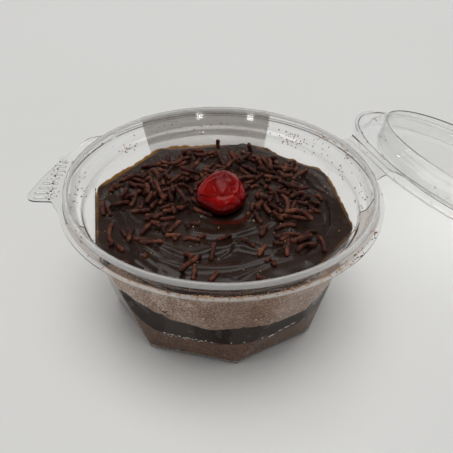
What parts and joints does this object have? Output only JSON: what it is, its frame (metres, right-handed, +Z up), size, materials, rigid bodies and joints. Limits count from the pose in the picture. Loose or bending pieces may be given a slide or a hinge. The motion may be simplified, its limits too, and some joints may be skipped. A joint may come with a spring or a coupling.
{
  "type": "cake in a jar",
  "caption": "Layered chocolate cake in a faceted clear tub with an open hinged lid, topped with fudge, sprinkles and a glossy cherry.",
  "frame": {"origin": "centre of the tub's flat base, on the surface that it stands on", "axes": "+Z up, +X from the tub's centre towards its hinge and the open lid"},
  "size_m": [0.2354, 0.1152, 0.0514],
  "materials": {
    "clear_plastic": "clear thermoformed sheet, glossy",
    "chocolate_cake": "dark moist chocolate crumb, matt",
    "fudge": "thick chocolate fudge, glossy, with matt chocolate sprinkles",
    "light_chocolate_cake": "lighter chocolate crumb, matt, moist where it touches the wall",
    "candied_cherry": "candied cherry, bright red, wet gloss",
    "label_paper": "blank sticker, matt"
  },
  "bodies": {
    "tub_with_cake": {"tub": "clear_plastic", "cake_base": "chocolate_cake", "fudge_layer": "fudge", "cake_middle": "light_chocolate_cake", "fudge_top": "fudge", "cherry": "candied_cherry", "label": "label_paper"},
    "hinged_lid": {"lid": "clear_plastic"}
  },
  "joints": [
    {"name": "lid_hinge", "type": "hinge", "parent": "tub_with_cake", "child": "hinged_lid", "pos_m": [0.061, 0.002, 0.0482], "axis": [0, 1, 0], "range_deg": [-202.2, 0]}
  ]
}
